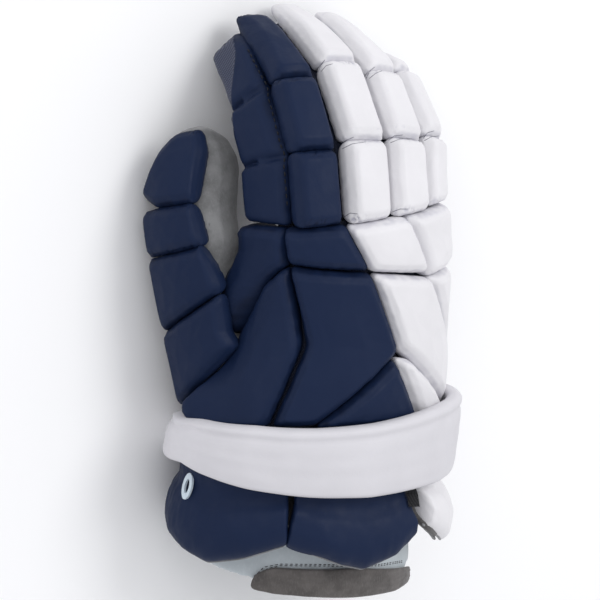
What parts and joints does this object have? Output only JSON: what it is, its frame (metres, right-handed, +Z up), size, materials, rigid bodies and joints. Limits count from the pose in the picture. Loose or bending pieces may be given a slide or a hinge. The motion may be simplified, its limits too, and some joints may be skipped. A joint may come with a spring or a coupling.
{
  "type": "lacrosse glove",
  "caption": "Right-hand lacrosse glove with segmented padded fingers and thumb, padded backhand, wrapped wrist band and puffed cuff rolls, lying palm down.",
  "frame": {"origin": "on the ground under the middle of the glove's box", "axes": "+Y from the cuff toward the fingertips, +Z up out of the back of the hand, +X toward the little finger's side"},
  "size_m": [0.1846, 0.3262, 0.1094],
  "materials": {
    "navy_leather": "satin synthetic leather with a fine grain",
    "white_leather": "satin synthetic leather with a fine grain",
    "band_leather": "soft matte synthetic leather over foam",
    "navy_mesh": "open mesh knit with pale threads",
    "grey_suede": "brushed synthetic suede",
    "pale_liner": "soft brushed lining cloth",
    "brown_suede": "brushed synthetic suede",
    "black_elastic": "ribbed woven elastic",
    "pale_ring": "moulded plastic eyelet"
  },
  "bodies": {
    "root": {"index_distal_pad": "navy_leather", "index_side_pad_3": "navy_leather", "index_middle_pad": "navy_leather", "index_side_pad_2": "navy_leather", "index_proximal_pad": "navy_leather", "index_side_pad_1": "navy_leather", "middle_distal_pad": "white_leather", "middle_middle_pad": "white_leather", "middle_proximal_pad": "white_leather", "ring_distal_pad": "white_leather", "ring_middle_pad": "white_leather", "ring_proximal_pad": "white_leather", "pinky_distal_pad": "white_leather", "pinky_middle_pad": "white_leather", "pinky_proximal_pad": "white_leather", "thumb_distal_pad": "navy_leather", "thumb_middle_pad": "navy_leather", "thumb_proximal_pad": "navy_leather", "thumb_base_pad": "navy_leather", "palm_shell": "navy_mesh", "index_stall": "navy_mesh", "middle_stall": "navy_mesh", "ring_stall": "navy_mesh", "pinky_stall": "navy_mesh", "thumb_stall": "grey_suede", "knuckle_index": "navy_leather", "knuckle_middle": "white_leather", "knuckle_outer": "white_leather", "index_base": "navy_leather", "back_main": "navy_leather", "back_radial": "navy_leather", "back_low": "navy_leather", "white_upper": "white_leather", "white_outer": "white_leather", "white_side": "white_leather", "white_low": "white_leather", "cuff_liner": "pale_liner", "wrist_band": "band_leather", "roll_radial": "navy_leather", "roll_middle": "navy_leather", "ulnar_flap": "white_leather", "flap_lining": "grey_suede", "strap_radial": "black_elastic", "strap_ulnar": "black_elastic", "suede_tab": "brown_suede", "palm_patch": "grey_suede", "eyelet": "pale_ring"}
  },
  "joints": []
}
